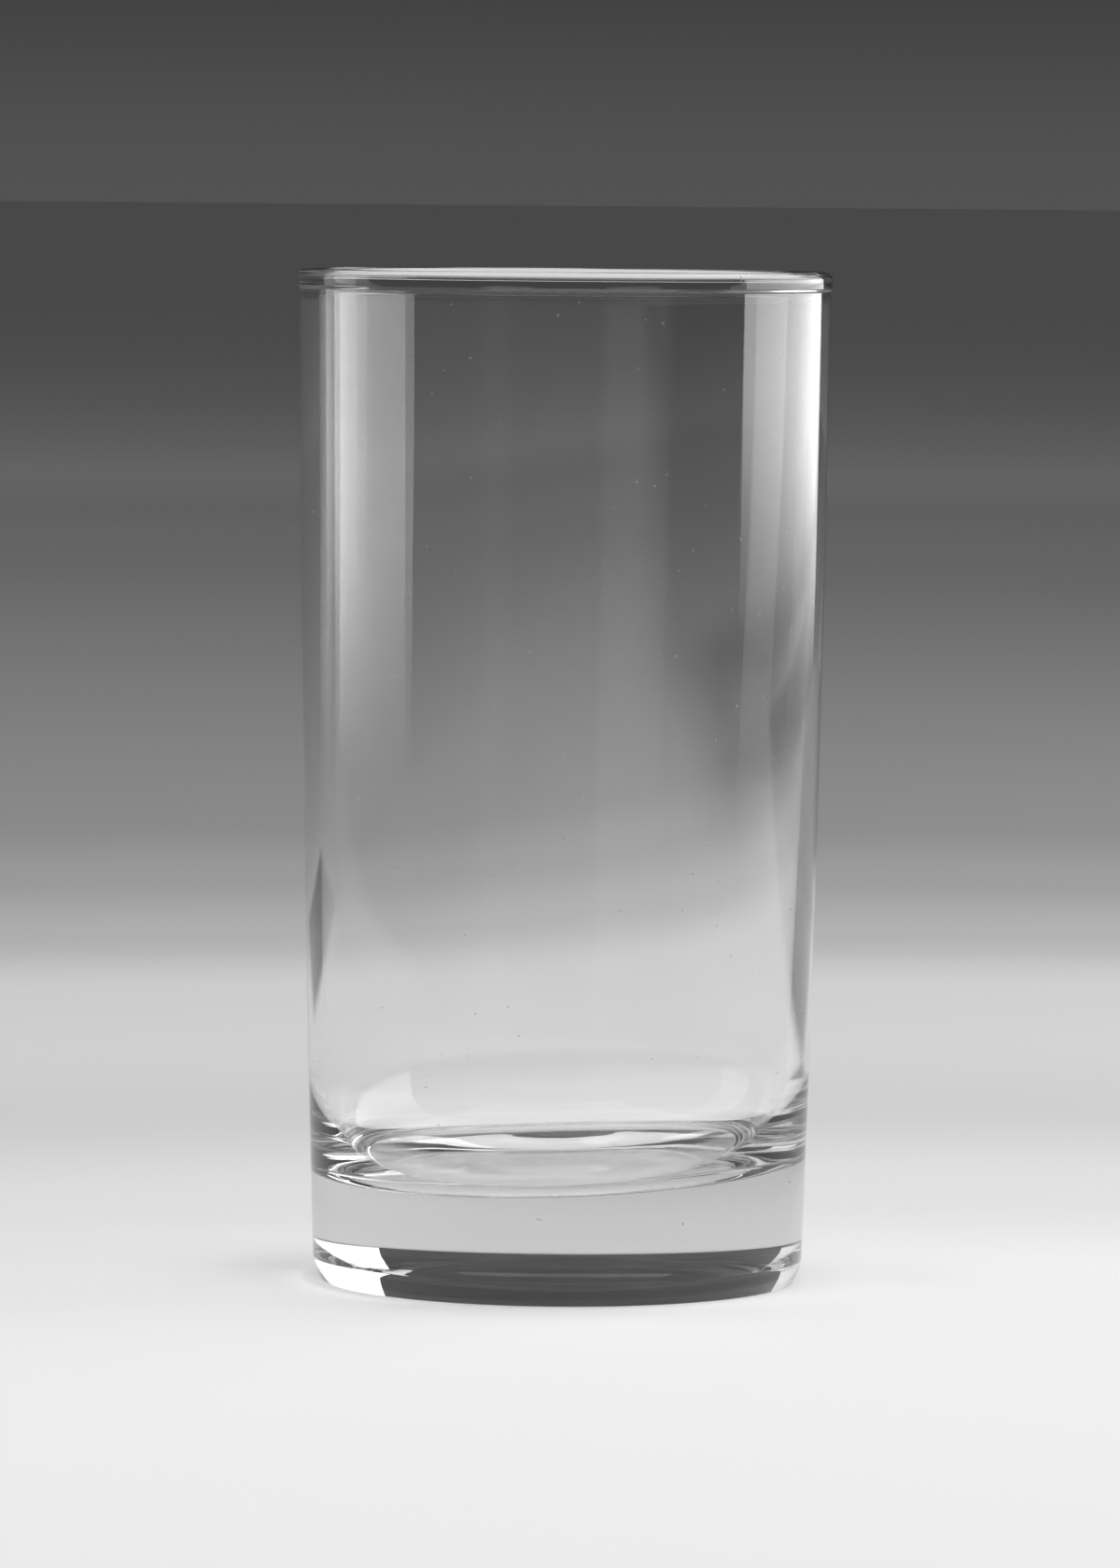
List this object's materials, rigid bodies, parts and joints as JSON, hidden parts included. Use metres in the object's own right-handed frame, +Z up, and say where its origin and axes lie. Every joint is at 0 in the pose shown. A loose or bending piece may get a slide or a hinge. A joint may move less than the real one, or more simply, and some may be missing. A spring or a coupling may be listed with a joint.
{
  "type": "juice glass",
  "caption": "Clear round tumbler with a heavy solid base, a thin gently tapered wall and a slightly thickened rim, open at the top to hold a drink.",
  "frame": {"origin": "middle of the flat foot, where the glass stands on the table", "axes": "+Z up along the axis of the glass, towards the mouth; the glass is round, so X and Y are free"},
  "size_m": [0.064, 0.064, 0.1212],
  "materials": {
    "base_glass": "polished clear glass",
    "wall_glass": "polished clear glass",
    "rim_glass": "fire-polished clear glass"
  },
  "bodies": {
    "root": {"base": "base_glass", "wall": "wall_glass", "rim": "rim_glass"}
  },
  "joints": []
}
